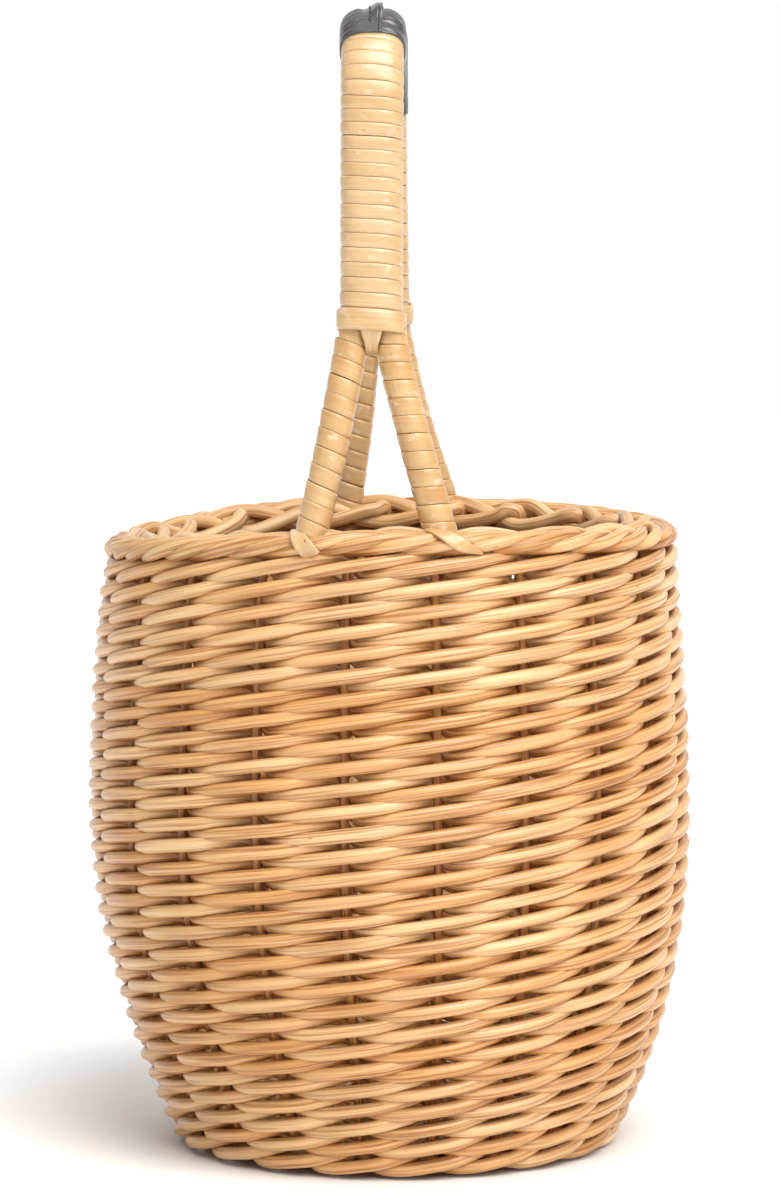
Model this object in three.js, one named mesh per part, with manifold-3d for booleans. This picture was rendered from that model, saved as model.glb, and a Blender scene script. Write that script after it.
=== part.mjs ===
// A round woven cane bucket bag: side stakes and two-strand weaving on a base of crossed sticks, a
// rolled border, an arch handle of two cane-wrapped rods, and a leather sleeve sewn over the grip.
// Millimetres, +Z up, origin at the centre of the foot, with the handle's arch in the Y-Z plane.

import * as THREE from 'three';
import { mergeVertices } from 'three/addons/utils/BufferGeometryUtils.js';
import Module from 'manifold-3d';

const wasm = await Module();
wasm.setup();

// ---------- driving dimensions ----------

const clearance = 0.3;            // gap between pieces that rest on each other
const tau = 2 * Math.PI;
const degree = Math.PI / 180;

// the wall's outer shape: narrow at the foot, widest at the belly, a little narrower at the rim
const footRadius = 78.6;
const bellyRadius = 108.6;
const rimRadius = 103.6;
const bellyHeight = 127;
const wallTop = 218;
const rimHeight = 228;            // top of the rolled border
const lowerCurve = 2.2;           // how sharply the wall turns out of the foot
const upperCurve = 1.5;           // how gently it draws in towards the rim
const lowerStations = [25, 42];   // heights that follow the wall's lower curve

// weaving
const wallThickness = 11.8;
const stakeCount = 20;
const stakeRadius = 2;
const stakeTurn = 9 * degree;     // direction of the first stake, from +X
const stakeStart = 53;            // a stake's inner end, this far from the centre, in the base
const stakeTop = 211;
const footEdge = 4;               // height of the foot's rounded-off lower edge
const wallLevels = [12, 63.5, 115, 166.5, wallTop];   // where one band of seven rows meets the next
const ringFacets = 40;

// base
const stickRadius = 1.8;
const stickPitch = 4.6;           // between parallel sticks where the two groups cross
const stickTurn = stakeTurn + 6 * degree;
const halfCross = 12;             // half the width of the cross where they lie parallel
const fanStart = 0.6;             // share of its reach where a stick has fanned out
const stickReach = 70;
const lowerStickHeight = 5.4;
const upperStickHeight = 9.6;
const stakeBaseHeight = 7.5;
const baseInnerRadius = 15;
const baseRadius = 71;
const baseBottom = 1.5;
const baseTop = 13.5;

// border
const borderWidth = 13.6;
const borderBottom = rimHeight - 9.8;
const borderShoulder = 2.6;       // its rounded upper edges
const plaitWidth = 4.4;           // the row of turned-down rod ends inside the border
const plaitDrop = 3;              // how far it hangs below the border

// handle: two rods side by side, so its wrapped section is a flattened oval
const rodRadius = 4.3;
const rodSpread = 4.6;            // each rod's distance from the middle of the grip
const forkSpread = { front: 6.8, back: 5.8 };   // the same where the legs part
const frontShift = -6.7;          // the handle stands a little to one side
const backShift = -3.7;
const forkHeight = 289;
const forkReach = 86;             // distance of the fork from the middle of the bag
const footReach = 92.5;           // the same for the legs' feet on the border
const lean = 7 * degree;          // of the columns, towards each other
const bendRadius = 26;
const gripHeight = 398.4;         // centreline of the flat grip
const squareness = 2.6;           // of the oval sections; 2 would be an ellipse
const columnSize = { across: 10.8, deep: 8.1 };
const packingSize = { across: 9.8, deep: 7.1 };
const collarSize = { across: 12.6, deep: 8.8, bottom: 288, top: 303 };
const legRadius = 5.75;
const legGap = { foot: 2, fork: 1.2 };   // between a leg's wrapping and its neighbours
const rodEnd = 184;               // height of a rod's lower end, buried in the wall
const rodEntry = { below: 17, towardsFoot: 0.45 };
const bindingWidth = 5;
const bindingThickness = 1.2;
const bindingGap = 0.8;           // from the border and from the leg beside it
const bindingBottom = 212;

// leather sleeve
const sleeveInner = { across: 10.2, deep: 7.5 };
const sleeveOuter = { across: 11.4, deep: 8.7 };
const sleeveFrontAngle = 51 * degree;   // how far round the front bend the sleeve starts
const sleeveBackAngle = 3 * degree;
const seamHeight = 2.8;
const seamWidth = 2.8;
const seamLean = 0.9;
const threadRadius = 0.4;
const overshoot = 1;              // of a cutting tool beyond the piece it opens

// ---------- materials ----------

function material(colour, roughness) {
  return new THREE.MeshStandardMaterial({ color: colour, roughness, metalness: 0 });
}

const weavingCane = material(0xd1a070, 0.55);
const stakeCane = material(0xb98a58, 0.6);
const borderCane = material(0xdfb383, 0.5);
const handleCane = material(0xe9c99a, 0.35);
const rodCane = material(0xc79a66, 0.6);
const blackLeather = material(0x26211f, 0.45);
const darkThread = material(0x171412, 0.7);

// ---------- solids ----------

// A closed three.js geometry as a solid that can be cut.
function toSolid(geometry) {
  const bare = geometry.clone();
  bare.deleteAttribute('normal');
  bare.deleteAttribute('uv');
  const merged = mergeVertices(bare);
  return new wasm.Manifold(new wasm.Mesh({
    numProp: 3,
    vertProperties: new Float32Array(merged.attributes.position.array),
    triVerts: new Uint32Array(merged.index.array),
  }));
}

function toGeometry(solid) {
  const mesh = solid.getMesh();
  const geometry = new THREE.BufferGeometry();
  geometry.setAttribute('position', new THREE.BufferAttribute(mesh.vertProperties, 3));
  geometry.setIndex(new THREE.BufferAttribute(mesh.triVerts, 1));
  geometry.computeVertexNormals();
  return geometry;
}

function cut(geometry, tools) {
  let solid = toSolid(geometry);
  for (const tool of tools) {
    solid = solid.subtract(toSolid(tool));
  }
  return toGeometry(solid);
}

function joined(first, second) {
  return toGeometry(toSolid(first).add(toSolid(second)));
}

// A ring turned about the vertical axis, from a closed outline of [radius, height] corners.
function ring(corners) {
  const closed = [...corners, corners[0]];
  const outline = closed.map(([radius, height]) => new THREE.Vector2(radius, height));
  return new THREE.LatheGeometry(outline, ringFacets).rotateX(Math.PI / 2);
}

function polygon(radius, sides, middleX = 0, middleY = 0) {
  const corners = Array.from({ length: sides }, (_, i) => {
    const turn = (tau * (i + 0.5)) / sides;
    return new THREE.Vector2(middleX + radius * Math.cos(turn), middleY + radius * Math.sin(turn));
  });
  return new THREE.Shape(corners);
}

// A flattened oval, a little squarer than an ellipse.
function oval({ across, deep }, sides) {
  const fuller = (share) => Math.sign(share) * Math.abs(share) ** (2 / squareness);
  const corners = Array.from({ length: sides }, (_, i) => {
    const turn = (tau * (i + 0.5)) / sides;
    return new THREE.Vector2(across * fuller(Math.cos(turn)), deep * fuller(Math.sin(turn)));
  });
  return new THREE.Shape(corners);
}

// A smooth route through hand-placed stations, sampled at the stations themselves.
function route(stations) {
  const curve = new THREE.CatmullRomCurve3(stations);
  curve.getPointAt = curve.getPoint;
  curve.getTangentAt = curve.getTangent;
  curve.steps = stations.length - 1;
  return curve;
}

function sweep(shape, curve) {
  return new THREE.ExtrudeGeometry(shape, { steps: curve.steps, extrudePath: curve });
}

function rod(curve, radius, sides) {
  return sweep(polygon(radius, sides), curve);
}

// The tool that opens a channel for a rod of the same number of sides, clear of it all round.
function channel(curve, radius, sides) {
  return rod(curve, radius + clearance / Math.cos(Math.PI / sides), sides);
}

// A square channel, for a rod of any number of sides.
function squareChannel(curve, radius) {
  return rod(curve, (radius + clearance) / Math.cos(Math.PI / 4), 4);
}

// ---------- the bag's outline ----------

function outerRadius(height) {
  if (height < bellyHeight) {
    const below = (bellyHeight - height) / bellyHeight;
    return bellyRadius - (bellyRadius - footRadius) * below ** lowerCurve;
  }
  const above = (height - bellyHeight) / (wallTop - bellyHeight);
  return bellyRadius - (bellyRadius - rimRadius) * above ** upperCurve;
}

function middleRadius(height) {
  return outerRadius(height) - wallThickness / 2;
}

function around(radius, turn, height) {
  return new THREE.Vector3(radius * Math.cos(turn), radius * Math.sin(turn), height);
}

// ---------- base and stakes ----------

const caneSides = 5;

// A base stick lies straight across the middle, beside its four neighbours, then fans out.
function stickRoute(group, place) {
  const height = group === 0 ? lowerStickHeight : upperStickHeight;
  const groupTurn = stickTurn + group * Math.PI / 2;
  const fan = (place - 2) * tau / stakeCount;
  const side = (place - 2) * stickPitch;
  const reach = stickReach;
  const stations = [
    [-reach * Math.cos(fan), reach * Math.sin(fan)],
    [-fanStart * reach * Math.cos(fan), fanStart * reach * Math.sin(fan)],
    [-halfCross, side],
    [halfCross, side],
    [fanStart * reach * Math.cos(fan), fanStart * reach * Math.sin(fan)],
    [reach * Math.cos(fan), reach * Math.sin(fan)],
  ];
  const upright = new THREE.Vector3(0, 0, 1);
  return route(stations.map(([x, y]) => (
    new THREE.Vector3(x, y, height).applyAxisAngle(upright, groupTurn)
  )));
}

// A side stake starts flat in the base, turns up in the foot and follows the middle of the wall.
function stakeRoute(index) {
  const turn = stakeTurn + index * tau / stakeCount;
  const footBend = [[stakeStart, stakeBaseHeight], [69, stakeBaseHeight], [76.5, 11.5]];
  const wallHeights = [...lowerStations, 70, 110, 160, stakeTop];
  const stations = [
    ...footBend.map(([radius, height]) => around(radius, turn, height)),
    ...wallHeights.map((height) => around(middleRadius(height), turn, height)),
  ];
  return route(stations);
}

const stickRoutes = [0, 1].map((group) => [0, 1, 2, 3, 4].map((place) => stickRoute(group, place)));
const stakeRoutes = Array.from({ length: stakeCount }, (_, i) => stakeRoute(i));
const stickChannels = stickRoutes.flat().map((curve) => squareChannel(curve, stickRadius));
const stakeChannels = stakeRoutes.map((curve) => squareChannel(curve, stakeRadius));

// ---------- handle routes ----------

// The arch stands on the forks: a leaning column, a bend and half of the flat grip, then the same
// again behind. Places along it are lengths from the front fork.
const bendHeight = gripHeight - bendRadius;
const columnTop = bendHeight + bendRadius * Math.sin(lean);
const columnLength = (columnTop - forkHeight) / Math.cos(lean);
const bendLength = bendRadius * (Math.PI / 2 - lean);
const bendReach = forkReach - columnLength * Math.sin(lean) - bendRadius * Math.cos(lean);
const archLength = 2 * (columnLength + bendLength + bendReach);
const bendSteps = 5;

function archPoint(length, shift = 0) {
  if (length > archLength / 2) {
    const mirrored = archPoint(archLength - length, shift);
    return new THREE.Vector3(mirrored.x + backShift - frontShift, -mirrored.y, mirrored.z);
  }
  const x = frontShift + shift;
  if (length < columnLength) {
    const reach = forkReach - length * Math.sin(lean);
    return new THREE.Vector3(x, -reach, forkHeight + length * Math.cos(lean));
  }
  const angle = lean + (length - columnLength) / bendRadius;
  if (angle < Math.PI / 2) {
    const reach = bendReach + bendRadius * Math.cos(angle);
    return new THREE.Vector3(x, -reach, bendHeight + bendRadius * Math.sin(angle));
  }
  return new THREE.Vector3(x, length - archLength / 2, gripHeight);
}

// The direction of travel along the arch, leaving out its slight sideways drift.
function archDirection(length) {
  const halfway = archLength / 2;
  const nearer = Math.min(length, archLength - length);
  const bent = Math.max(0, nearer - columnLength) / bendRadius;
  const angle = Math.min(lean + bent, Math.PI / 2);
  return new THREE.Vector3(0, Math.sin(angle), Math.sign(halfway - length) * Math.cos(angle));
}

// Where the arch starts and stops bending, and the places between.
const bendMarks = Array.from({ length: bendSteps + 1 }, (_, i) => (
  columnLength + bendLength * i / bendSteps
));
const archMarks = [...bendMarks, ...bendMarks.map((mark) => archLength - mark).reverse()];

// A stretch of the arch, sampled only where it has to bend.
class ArchStretch extends THREE.Curve {
  constructor(from, to) {
    super();
    const shortest = 2;
    const between = archMarks.filter((mark) => mark > from + shortest && mark < to - shortest);
    this.places = [from, ...between, to];
    this.steps = this.places.length - 1;
  }

  getPointAt(u) {
    return this.getPoint(u);
  }

  getPoint(t) {
    return archPoint(this.places[Math.round(t * this.steps)]);
  }

  getTangentAt(u) {
    return archDirection(this.places[Math.round(u * this.steps)]);
  }
}

const collarTopLength = (collarSize.top - forkHeight) / Math.cos(lean);
const collarBottomLength = (collarSize.bottom - forkHeight) / Math.cos(lean);
const sleeveStart = columnLength + bendRadius * (sleeveFrontAngle - lean);
const sleeveEnd = archLength - columnLength - bendRadius * (sleeveBackAngle - lean);

// A point at the foot, in front (side -1) or behind (side 1), and the places where the feet stand.
function footPoint(side, x) {
  return new THREE.Vector3(x, side * footReach, rimHeight);
}

const ends = { front: -1, back: 1 };
const hands = { left: -1, right: 1 };
const footPlaces = {
  front: { left: -27, right: 17.8 },
  back: { left: -16.2, right: 19.7 },
};

// Below the border each rod goes on down the wall, half way between two stakes.
function buriedPoint(side, x, height) {
  const turn = Math.sign(x) * tau / stakeCount;
  const radius = middleRadius(height);
  return new THREE.Vector3(radius * Math.sin(turn), side * radius * Math.cos(turn), height);
}

// A rod's stations below the fork, from its buried end up: two in the wall, the foot on the
// border, the middle of the leg and the fork.
function legStations(end, hand) {
  const side = ends[end];
  const x = footPlaces[end][hand];
  const foot = footPoint(side, x);
  const legTop = collarBottomLength - legGap.fork;
  const atFork = side < 0 ? legTop : archLength - legTop;
  const fork = archPoint(atFork, hands[hand] * forkSpread[end]);
  const entry = buriedPoint(side, x, rimHeight - rodEntry.below);
  entry.x += (x - entry.x) * rodEntry.towardsFoot;
  return [buriedPoint(side, x, rodEnd), entry, foot, foot.clone().lerp(fork, 0.5), fork];
}

function rodRoute(hand) {
  const shift = hands[hand] * rodSpread;
  const above = [collarTopLength, 0.6 * columnLength, ...bendMarks];
  return route([
    ...legStations('front', hand),
    ...above.map((mark) => archPoint(mark, shift)),
    ...above.reverse().map((mark) => archPoint(archLength - mark, shift)),
    ...legStations('back', hand).reverse(),
  ]);
}

const rodSides = 6;
const rodRoutes = { left: rodRoute('left'), right: rodRoute('right') };
const rodChannels = Object.values(rodRoutes).map((curve) => channel(curve, rodRadius, rodSides));

// ---------- the object ----------

const bag = new THREE.Group();

function add(name, geometry, finish) {
  const mesh = new THREE.Mesh(geometry, finish);
  mesh.name = name;
  bag.add(mesh);
}

function numbered(name, index) {
  return `${name}_${String(index + 1).padStart(2, '0')}`;
}

function addBase() {
  for (const [group, groupName] of ['lower_base_stick', 'upper_base_stick'].entries()) {
    stickRoutes[group].forEach((curve, i) => {
      add(`${groupName}_${i + 1}`, rod(curve, stickRadius, caneSides), stakeCane);
    });
  }
  const disc = ring([
    [baseInnerRadius, baseBottom],
    [baseRadius, baseBottom],
    [baseRadius, baseTop],
    [baseInnerRadius, baseTop],
  ]);
  add('base_weaving', cut(disc, [...stickChannels, ...stakeChannels]), weavingCane);
}

function addStakes() {
  stakeRoutes.forEach((curve, i) => {
    add(numbered('side_stake', i), rod(curve, stakeRadius, caneSides), stakeCane);
  });
}

// The first row turns the stakes up and is what the bag stands on.
function addFoot() {
  const top = wallLevels[0] - clearance;
  const foot = ring([
    [baseRadius + clearance, 0],
    [footRadius, 0],
    [outerRadius(footEdge), footEdge],
    [outerRadius(top), top],
    [baseRadius + clearance, top],
  ]);
  add('foot_weaving', cut(foot, stakeChannels), weavingCane);
}

function addWall() {
  for (let band = 0; band < wallLevels.length - 1; band += 1) {
    const bottom = wallLevels[band];
    const top = wallLevels[band + 1] - clearance;
    const between = band === 0 ? lowerStations : [(bottom + top) / 2];
    const heights = [bottom, ...between, top];
    const outside = heights.map((height) => [outerRadius(height), height]);
    const inside = heights.map((height) => [outerRadius(height) - wallThickness, height]).reverse();
    const tools = band === wallLevels.length - 2 ? [...stakeChannels, ...rodChannels] : stakeChannels;
    add(`wall_weaving_${band + 1}`, cut(ring([...outside, ...inside]), tools), weavingCane);
  }
}

function addBorder() {
  const inner = rimRadius - borderWidth;
  const border = ring([
    [inner, borderBottom],
    [rimRadius, borderBottom],
    [rimRadius, rimHeight - borderShoulder],
    [rimRadius - borderShoulder, rimHeight],
    [inner + borderShoulder, rimHeight],
    [inner, rimHeight - borderShoulder],
  ]);
  add('rolled_border', cut(border, rodChannels), borderCane);
  const plaitOuter = inner - clearance;
  const plait = ring([
    [plaitOuter - plaitWidth, borderBottom - plaitDrop],
    [plaitOuter, borderBottom - plaitDrop],
    [plaitOuter, rimHeight - borderShoulder],
    [plaitOuter - plaitWidth, rimHeight - borderShoulder],
  ]);
  add('inner_border_plait', plait, borderCane);
}

function addRods() {
  for (const [hand, curve] of Object.entries(rodRoutes)) {
    add(`${hand}_handle_rod`, rod(curve, rodRadius, rodSides), rodCane);
  }
}

// Each leg's wrapping stands on the border and ends under the fork's collar.
function addLegWraps() {
  for (const end of Object.keys(ends)) {
    for (const hand of Object.keys(hands)) {
      const [, , foot, middle, fork] = legStations(end, hand);
      const upward = fork.clone().sub(foot).normalize();
      foot.addScaledVector(upward, legGap.foot);
      fork.addScaledVector(upward, -legGap.fork);
      const tool = channel(rodRoutes[hand], rodRadius, rodSides);
      const wrap = rod(route([foot, middle, fork]), legRadius, 8);
      add(`${end}_${hand}_leg_wrap`, cut(wrap, [tool]), handleCane);
    }
  }
}

// A flat cane binding goes over the border beside each leg and down the outside of the wall.
function addFootBindings() {
  const inner = rimRadius - borderWidth;
  const mitre = Math.tan(tau / 16);
  const edge = (offset) => [
    [rimRadius + offset, bindingBottom],
    [rimRadius + offset, rimHeight - borderShoulder + mitre * offset],
    [rimRadius - borderShoulder + mitre * offset, rimHeight + offset],
    [inner + borderShoulder - mitre * offset, rimHeight + offset],
  ];
  const outline = [...edge(bindingGap + bindingThickness), ...edge(bindingGap).reverse()];
  const shape = new THREE.Shape(outline.map(([radius, height]) => new THREE.Vector2(radius, height)));
  for (const [end, side] of Object.entries(ends)) {
    for (const [hand, outward] of Object.entries(hands)) {
      const binding = new THREE.ExtrudeGeometry(shape, { depth: bindingWidth, bevelEnabled: false });
      binding.translate(0, 0, -bindingWidth / 2);
      binding.rotateX(Math.PI / 2);
      const legTurn = Math.atan2(footPlaces[end][hand], footReach);
      const fromLeg = (legRadius + bindingWidth / 2 + bindingGap) / footReach;
      binding.rotateZ(side * (Math.PI / 2 - legTurn - outward * fromLeg));
      add(`${end}_${hand}_foot_binding`, binding, handleCane);
    }
  }
}

const columnSides = 10;
const gripSides = 12;

// A collar of wide turns binds the two rods together where the legs fork.
function addCollars() {
  const stretches = {
    front: [collarBottomLength, collarTopLength - clearance],
    back: [archLength - collarTopLength + clearance, archLength - collarBottomLength],
  };
  for (const [end, [from, to]] of Object.entries(stretches)) {
    const collar = sweep(oval(collarSize, columnSides), new ArchStretch(from, to));
    add(`${end}_fork_collar`, cut(collar, rodChannels), handleCane);
  }
}

function addColumnWraps() {
  const stretches = {
    front: [collarTopLength, sleeveStart - clearance],
    back: [sleeveEnd + clearance, archLength - collarTopLength],
  };
  for (const [end, [from, to]] of Object.entries(stretches)) {
    const wrap = sweep(oval(columnSize, columnSides), new ArchStretch(from, to));
    add(`${end}_column_wrap`, cut(wrap, rodChannels), handleCane);
  }
}

// Packing fills the grip round the rods. The leather is drawn tight over it, and its two edges
// are pinched together and sewn into a seam that stands up along the outside of the arch.
function addGrip() {
  const grip = new ArchStretch(sleeveStart, sleeveEnd);
  const bore = new ArchStretch(sleeveStart - overshoot, sleeveEnd + overshoot);
  const packing = sweep(oval(packingSize, gripSides), grip);
  add('grip_packing', cut(packing, rodChannels), rodCane);
  const tube = cut(sweep(oval(sleeveOuter, gripSides), grip), [sweep(oval(sleeveInner, gripSides), bore)]);
  const root = (sleeveInner.deep + sleeveOuter.deep) / 2;
  const top = sleeveOuter.deep + seamHeight;
  const seam = new THREE.Shape([
    new THREE.Vector2(-seamWidth / 2, root),
    new THREE.Vector2(seamWidth / 2, root),
    new THREE.Vector2(seamWidth / 2 - seamLean, top),
    new THREE.Vector2(-seamWidth / 2 - seamLean, top),
  ]);
  add('leather_sleeve', joined(tube, sweep(seam, grip)), blackLeather);
  const threadX = -seamWidth / 2 - seamLean - clearance - threadRadius;
  const threadY = sleeveOuter.deep + seamHeight / 2;
  add('seam_thread', sweep(polygon(threadRadius, 5, threadX, threadY), grip), darkThread);
}

addBase();
addFoot();
addStakes();
addWall();
addBorder();
addRods();
addLegWraps();
addFootBindings();
addCollars();
addColumnWraps();
addGrip();

export default bag;
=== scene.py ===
"""Looks for a round woven cane bucket bag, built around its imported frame. Metres, +Z up.

Angles round the bag ("turn") start at the front, -Y, and grow towards +X, the right as seen from
the front. Lengths along the handle's arch start at the front fork.
"""

import math

import bpy
import numpy as np
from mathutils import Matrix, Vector


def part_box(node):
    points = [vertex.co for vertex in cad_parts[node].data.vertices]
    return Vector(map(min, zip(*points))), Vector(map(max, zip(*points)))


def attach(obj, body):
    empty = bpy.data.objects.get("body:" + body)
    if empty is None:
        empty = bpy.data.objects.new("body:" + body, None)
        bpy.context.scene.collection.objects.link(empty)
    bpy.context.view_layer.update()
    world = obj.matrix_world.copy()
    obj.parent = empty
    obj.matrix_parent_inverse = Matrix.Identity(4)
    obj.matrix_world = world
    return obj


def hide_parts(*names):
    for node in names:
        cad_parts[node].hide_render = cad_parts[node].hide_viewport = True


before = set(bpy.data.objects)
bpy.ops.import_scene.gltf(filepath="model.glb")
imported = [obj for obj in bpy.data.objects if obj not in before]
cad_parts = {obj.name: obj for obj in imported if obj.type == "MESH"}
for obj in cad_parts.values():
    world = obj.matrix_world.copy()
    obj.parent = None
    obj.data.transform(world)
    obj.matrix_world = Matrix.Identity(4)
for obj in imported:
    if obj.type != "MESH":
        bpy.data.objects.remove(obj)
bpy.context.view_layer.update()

MM = 0.001
TAU = 2 * math.pi
SIDEWAYS = np.array([1.0, 0.0, 0.0])
UPWARD = np.array([0.0, 0.0, 1.0])

# ---------- sizes shared with the CAD model ----------

FOOT_RADIUS = 78.6 * MM
BELLY_RADIUS = 108.6 * MM
RIM_RADIUS = 103.6 * MM
BELLY_HEIGHT = 127 * MM
WALL_TOP = 218 * MM
RIM_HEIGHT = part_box("rolled_border")[1].z
LOWER_CURVE = 2.2
UPPER_CURVE = 1.5

STAKES = 20
STAKE_STEP = TAU / STAKES
STAKE_TURN = math.radians(9)
STAKE_RADIUS = 1.7 * MM
STAKE_DEPTH = 0.9 * MM    # inward of the weave's middle, where the rods press it

BASE_MIDDLE = 7.5 * MM

FORK_HEIGHT = 289 * MM
FORK_REACH = 86 * MM
FOOT_REACH = 91.5 * MM
LEAN = math.radians(7)
BEND_RADIUS = 26 * MM
GRIP_HEIGHT = 398.4 * MM
FRONT_SHIFT = -6.7 * MM
BACK_SHIFT = -3.6 * MM
ROD_SPREAD = 4.6 * MM
FORK_SPREAD = {"front": 7.4 * MM, "back": 5.9 * MM}
LEG_RADIUS = 5.75 * MM
LEG_SIZE = (LEG_RADIUS, LEG_RADIUS, 2.0)
COLUMN_SIZE = (10.8 * MM, 8.1 * MM, 2.6)
SLEEVE_SIZE = (11.4 * MM, 8.7 * MM, 2.8)
SLEEVE_FRONT_ANGLE = math.radians(49)
SLEEVE_BACK_ANGLE = math.radians(3)
COLLAR_TOP = 303 * MM
FEET = {
    ("front", "left"): -27 * MM,
    ("front", "right"): 16.8 * MM,
    ("back", "left"): -16.2 * MM,
    ("back", "right"): 19.7 * MM,
}
LEG_BOW = {
    ("front", "left"): -0.5 * MM,
    ("front", "right"): -0.5 * MM,
    ("back", "left"): -0.5 * MM,
    ("back", "right"): -1.5 * MM,
}
ENDS = {"front": -1, "back": 1}
HANDS = {"left": -1, "right": 1}

# ---------- the weaving's own sizes ----------

ROD_RADIUS = 2.42 * MM
ROWS = 29
WALL_HALF = 4.0 * MM + ROD_RADIUS    # from the weave's middle out to its crests
FIRST_ROW = 6.8 * MM
LAST_ROW = 216.3 * MM

# How far the handmade body is out of true.
LEFT_SINK = 8.5 * MM      # down, the rim's left side
RIGHT_SINK = 2.8 * MM     # down, the rim's right side
LEFT_BULGE = 1.5 * MM     # out, the left side of the wall
FOOT_SHIFT = 1.8 * MM     # to the right, the foot


def smooth_step(x):
    x = np.clip(x, 0.0, 1.0)
    return x * x * (3 - 2 * x)


def fade(value, start, end):
    """0 at start and 1 at end, whichever is larger, and smooth between them."""
    return smooth_step((value - start) / (end - start))


def unit(vectors):
    return vectors / np.linalg.norm(vectors, axis=-1, keepdims=True)


def square_to(vectors, directions):
    """Unit vectors made from what of each vector is square to its direction."""
    along = np.sum(vectors * directions, axis=-1, keepdims=True)
    return unit(vectors - along * directions)


def lengths_along(line):
    """The length from a line's first point to each of its points."""
    steps = np.linalg.norm(np.diff(line, axis=0), axis=1)
    return np.concatenate([[0.0], np.cumsum(steps)])


def wander(turns, rng, amount, waves=5):
    """A smooth periodic wobble of about the given amount, round the whole circle."""
    total = np.zeros_like(turns)
    for wave in range(1, waves + 1):
        total += rng.normal() * np.sin(wave * turns + rng.uniform(0, TAU)) / math.sqrt(wave)
    return total * amount / math.sqrt(waves)


# ---------- mesh making ----------


class Bundle:
    """Gathers swept rods and strips into one mesh.

    Each vertex keeps two attributes for the materials: "grain", its place in its own rod (across,
    across, along), and "tint", how light its rod is there, from 0 to 1.
    """

    def __init__(self):
        self.points = []
        self.grain = []
        self.tint = []
        self.faces = []
        self.flat = []
        self.count = 0

    def add(self, points, grain, faces, tint, flat=False):
        self.points.append(points)
        self.grain.append(grain)
        self.tint.append(np.broadcast_to(tint, len(points)))
        self.faces.extend(tuple(int(i) + self.count for i in face) for face in faces)
        self.flat.extend([flat] * len(faces))
        self.count += len(points)

    def sweep(self, rings, profile, along, tint, offset=0.0):
        """A tube from rings of points (rings, sides, 3), closed round and capped at both ends."""
        total, sides = rings.shape[:2]
        points = rings.reshape(-1, 3)
        grain = np.empty((total, sides, 3))
        grain[:, :, :2] = profile if profile.ndim == 3 else profile[None]
        grain[:, :, 2] = along[:, None] + offset
        index = np.arange(total * sides).reshape(total, sides)
        around = np.roll(index, -1, axis=1)
        quads = np.stack([index[:-1], around[:-1], around[1:], index[1:]], axis=-1).reshape(-1, 4)
        tints = np.broadcast_to(tint, total)
        self.add(points, grain.reshape(-1, 3), quads, np.repeat(tints, sides))
        for ring, order in ((0, -1), (total - 1, 1)):
            cap = [tuple(range(sides))[::order]]
            self.add(rings[ring].copy(), grain[ring].copy(), cap, tints[ring], flat=True)

    def rod(self, centres, radius, facing, tint, sides=12):
        """A round rod along centres. facing points roughly across it and steadies its section."""
        tangent = unit(np.gradient(centres, axis=0))
        across = square_to(facing, tangent)
        other = np.cross(tangent, across)
        angle = np.arange(sides) * TAU / sides
        radii = np.broadcast_to(radius, len(centres))
        circle = np.stack([np.cos(angle), np.sin(angle)], axis=-1)
        profile = radii[:, None, None] * circle[None]
        rings = (
            centres[:, None]
            + profile[:, :, :1] * across[:, None]
            + profile[:, :, 1:] * other[:, None]
        )
        self.sweep(rings, profile, lengths_along(centres), tint, offset=np.mean(tint) * 7)

    def build(self, name, material, replaces=(), body="root"):
        mesh = bpy.data.meshes.new(name)
        mesh.from_pydata(np.concatenate(self.points).tolist(), [], self.faces)
        mesh.polygons.foreach_set("use_smooth", [not flat for flat in self.flat])
        grain = mesh.attributes.new("grain", "FLOAT_VECTOR", "POINT")
        grain.data.foreach_set("vector", np.concatenate(self.grain).astype(np.float32).ravel())
        tint = mesh.attributes.new("tint", "FLOAT", "POINT")
        tint.data.foreach_set("value", np.concatenate(self.tint).astype(np.float32))
        mesh.materials.append(material)
        mesh.update()
        piece = bpy.data.objects.new(name, mesh)
        bpy.context.scene.collection.objects.link(piece)
        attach(piece, body)
        if replaces:
            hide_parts(*replaces)
        return piece


# ---------- the bag's outline ----------


def outer_radius(height):
    """The woven wall's outer radius at a height, as in the CAD model."""
    height = np.asarray(height, dtype=float)
    below = np.clip((BELLY_HEIGHT - height) / BELLY_HEIGHT, 0, None)
    above = np.clip((height - BELLY_HEIGHT) / (WALL_TOP - BELLY_HEIGHT), 0, None)
    lower = (BELLY_RADIUS - FOOT_RADIUS) * below**LOWER_CURVE
    upper = (BELLY_RADIUS - RIM_RADIUS) * above**UPPER_CURVE
    return BELLY_RADIUS - lower - upper


# The wall's middle surface, sampled up its side: height, radius and length from the bottom.
SIDE_HEIGHT = np.linspace(0, WALL_TOP + 4 * MM, 500)
SIDE_RADIUS = outer_radius(SIDE_HEIGHT) - WALL_HALF
SIDE_LENGTH = lengths_along(np.stack([SIDE_HEIGHT, SIDE_RADIUS], axis=-1))
SIDE_SLOPE = np.gradient(SIDE_RADIUS, SIDE_LENGTH)


def side_at(length):
    """Radius, height and the outward normal (radial, up) of the wall's middle at a length."""
    radius = np.interp(length, SIDE_LENGTH, SIDE_RADIUS)
    height = np.interp(length, SIDE_LENGTH, SIDE_HEIGHT)
    slope = np.interp(length, SIDE_LENGTH, SIDE_SLOPE)
    return radius, height, np.sqrt(1 - slope**2), -slope


def length_at(height):
    return np.interp(height, SIDE_HEIGHT, SIDE_LENGTH)


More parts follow.
